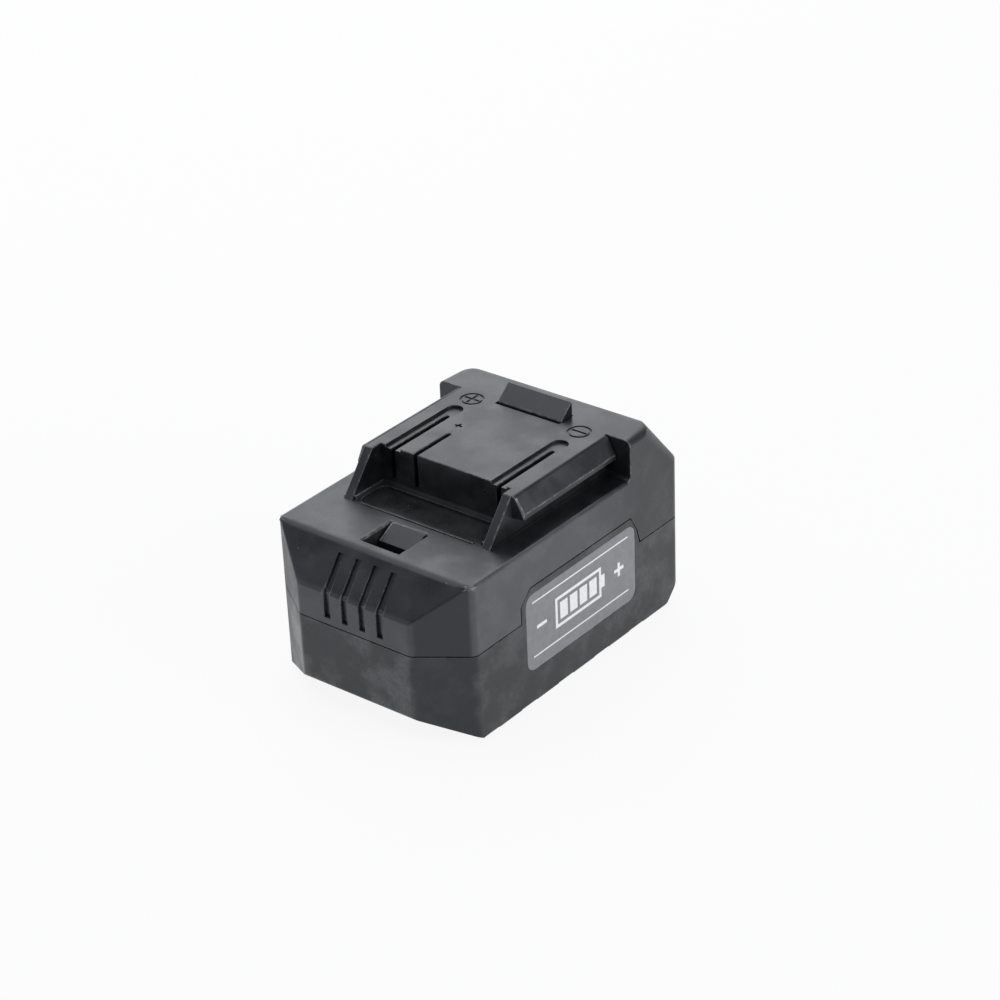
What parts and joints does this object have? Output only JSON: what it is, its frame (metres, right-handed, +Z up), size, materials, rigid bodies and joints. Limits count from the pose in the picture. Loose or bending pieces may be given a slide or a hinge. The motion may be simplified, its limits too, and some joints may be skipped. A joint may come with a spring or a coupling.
{
  "type": "power tool battery pack",
  "caption": "Slide-on battery pack for a cordless tool: split case with side rails, contact slots, catch pocket and a sprung latch hook, over wrapped cells and a protection board.",
  "frame": {"origin": "centre of the box that bounds the pack, on the surface it stands on", "axes": "+Z up, Y along the slide with the leading end at -Y, +X towards the label side"},
  "size_m": [0.0778, 0.1182, 0.0746],
  "materials": {
    "case_plastic": "fine moulded texture",
    "latch_plastic": "smooth moulded",
    "label_film": "satin film",
    "cell_wrap": "shrink sleeve",
    "holder_plastic": "moulded",
    "inner_plastic": "moulded",
    "nickel": "rolled strip",
    "insulating_paper": "pressed paper",
    "board_laminate": "solder mask",
    "contact_brass": "rolled sheet",
    "chip_plastic": "moulded",
    "resistor_ceramic": "coated",
    "spring_steel": "drawn wire",
    "screw_steel": "plated"
  },
  "bodies": {
    "pack": {"lower_case": "case_plastic", "upper_case": "case_plastic", "label_plate": "label_film", "case_screws": "screw_steel", "latch_spring_left": "spring_steel", "latch_spring_right": "spring_steel", "latch_retainer": "inner_plastic", "retainer_screws": "screw_steel", "cell_1": "cell_wrap", "cell_2": "cell_wrap", "cell_3": "cell_wrap", "cell_4": "cell_wrap", "cell_5": "cell_wrap", "cell_6": "cell_wrap", "cell_7": "cell_wrap", "cell_8": "cell_wrap", "cell_9": "cell_wrap", "cell_10": "cell_wrap", "cell_holder_left": "holder_plastic", "cell_holder_right": "holder_plastic", "strip_left_1": "nickel", "strip_left_2": "nickel", "strip_left_3": "nickel", "strip_right_1": "nickel", "strip_right_2": "nickel", "strip_right_3": "nickel", "insulator_left": "insulating_paper", "insulator_right": "insulating_paper", "circuit_board": "board_laminate", "board_screws": "screw_steel", "terminal_holder": "inner_plastic", "positive_terminal": "contact_brass", "negative_terminal": "contact_brass", "signal_terminal": "contact_brass", "controller_chip": "chip_plastic", "power_switches": "chip_plastic", "shunt_resistor": "resistor_ceramic", "balance_resistors": "resistor_ceramic", "thermistor": "chip_plastic"},
    "latch": {"latch_button": "latch_plastic"}
  },
  "joints": [
    {"name": "latch_slide", "type": "slide", "parent": "pack", "child": "latch", "axis": [0, 0, -1], "range_m": [0, 0.0054], "stiffness_N_per_m": 2000, "springref_m": -0.003, "deforming": ["latch_spring_left", "latch_spring_right"]}
  ]
}
